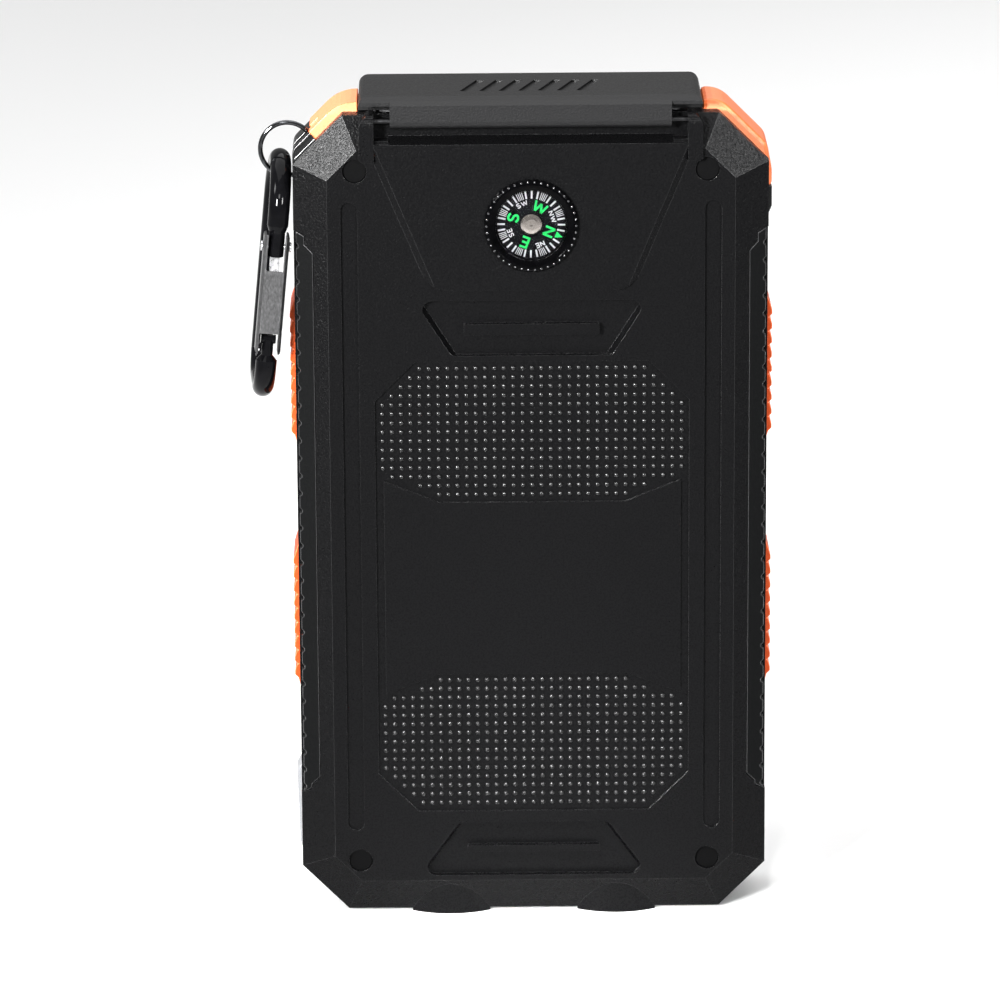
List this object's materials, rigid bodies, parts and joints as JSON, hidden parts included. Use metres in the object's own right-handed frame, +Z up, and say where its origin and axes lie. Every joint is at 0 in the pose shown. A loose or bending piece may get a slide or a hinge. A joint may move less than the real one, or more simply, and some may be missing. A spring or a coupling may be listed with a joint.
{
  "type": "solar phone charger",
  "caption": "Rugged pocket solar power bank with grip recesses, orange bumpers, a hinged port cover over its USB sockets, a compass, and a key ring with a small carabiner.",
  "frame": {"origin": "centre of the flat pad the charger stands on, midway between its rear and panel faces", "axes": "+X across the charger, to the right seen from the compass side; +Y from the rear (compass) face to the solar panel; +Z up along its height"},
  "size_m": [0.0872, 0.0216, 0.1414],
  "materials": {
    "shell_black": "fine grained, satin edges",
    "frame_black": "fine grained",
    "grip_black": "matt",
    "cover_black": "satin",
    "orange_rubber": "matt",
    "seal_grey": "matt",
    "plug_black": "matt",
    "bezel_black": "glossy",
    "cup_black": "matt",
    "lens_clear": "polished",
    "card_black": "printed with ticks and compass points",
    "cap_metal": "polished",
    "brass": "turned",
    "steel": "plain",
    "rivet_steel": "polished",
    "ring_steel": "polished wire",
    "hook_black": "glossy black lacquer",
    "gate_steel": "brushed along its length",
    "key_grey": "satin",
    "pouch_foil": "satin foil",
    "foam": "open foam",
    "lead_red": "insulation",
    "lead_grey": "insulation",
    "board_green": "solder mask",
    "substrate": "laminate",
    "silicon": "polycrystalline",
    "clear_sheet": "clear",
    "tongue_white": "moulded",
    "chip_black": "moulded",
    "inductor_grey": "ferrite",
    "capacitor_tan": "ceramic",
    "led_white": "clear cap",
    "pipe_clear": "clear"
  },
  "bodies": {
    "charger_body": {"rear_shell": "shell_black", "grip_insert_left": "grip_black", "grip_insert_right": "grip_black", "mid_frame": "frame_black", "front_shell": "shell_black", "corner_guard_left": "orange_rubber", "corner_guard_right": "orange_rubber", "side_block_upper_left": "orange_rubber", "side_block_upper_right": "orange_rubber", "side_block_lower_left": "orange_rubber", "side_block_lower_right": "orange_rubber", "shell_gasket": "seal_grey", "shell_screws": "steel", "screw_plugs": "plug_black", "compass_housing": "cup_black", "compass_bezel": "bezel_black", "compass_lens": "lens_clear", "compass_pivot": "brass", "solar_substrate": "substrate", "solar_cells": "silicon", "panel_cover": "clear_sheet", "battery_cell_rear": "pouch_foil", "battery_cell_front": "pouch_foil", "battery_foam": "foam", "battery_leads": "lead_red", "panel_leads": "lead_red", "main_board": "board_green", "usb_shell_left": "steel", "usb_shell_right": "steel", "usb_tongues": "tongue_white", "micro_usb_socket": "steel", "board_chips": "chip_black", "inductor": "inductor_grey", "capacitors": "capacitor_tan", "key_board": "board_green", "tact_switch": "chip_black", "charge_leds": "led_white", "light_pipes": "pipe_clear", "key_leads": "lead_grey", "hinge_pin": "steel"},
    "port_cover": {"usb_cover": "cover_black", "port_seal": "seal_grey"},
    "compass_dial": {"compass_card": "card_black", "compass_cap": "cap_metal"},
    "key": {"power_key": "key_grey"},
    "ring": {"key_ring": "ring_steel"},
    "carabiner": {"carabiner_body": "hook_black", "gate_rivet": "rivet_steel", "gate_spring": "steel"},
    "gate": {"carabiner_gate": "gate_steel"}
  },
  "joints": [
    {"name": "cover_hinge", "type": "hinge", "parent": "charger_body", "child": "port_cover", "pos_m": [0, -0.0087, 0.1374], "axis": [1, 0, 0], "range_deg": [0, 100]},
    {"name": "key_press", "type": "slide", "parent": "charger_body", "child": "key", "axis": [1, 0, 0], "range_m": [0, 0.0004], "stiffness_N_per_m": 800, "springref_m": -0.0003},
    {"name": "compass_turn", "type": "hinge", "parent": "charger_body", "child": "compass_dial", "pos_m": [0, -0.0098, 0.1202], "axis": [0, 1, 0], "continuous": true},
    {"name": "ring_swing", "type": "hinge", "parent": "charger_body", "child": "ring", "pos_m": [-0.03717, 0.0005, 0.1309], "axis": [0, 1, 0], "range_deg": [0, 45]},
    {"name": "carabiner_swing", "type": "hinge", "parent": "ring", "child": "carabiner", "pos_m": [-0.04259, 0.0005, 0.12715], "axis": [0.9928, 0.0698, -0.0974], "range_deg": [-20, 25]},
    {"name": "gate_open", "type": "hinge", "parent": "carabiner", "child": "gate", "pos_m": [-0.0421, -0.00698, 0.1161], "axis": [0.9928, 0.0698, -0.0974], "range_deg": [0, 28], "stiffness_Nm_per_rad": 0.02, "springref_deg": -17.19, "deforming": ["gate_spring"]}
  ]
}
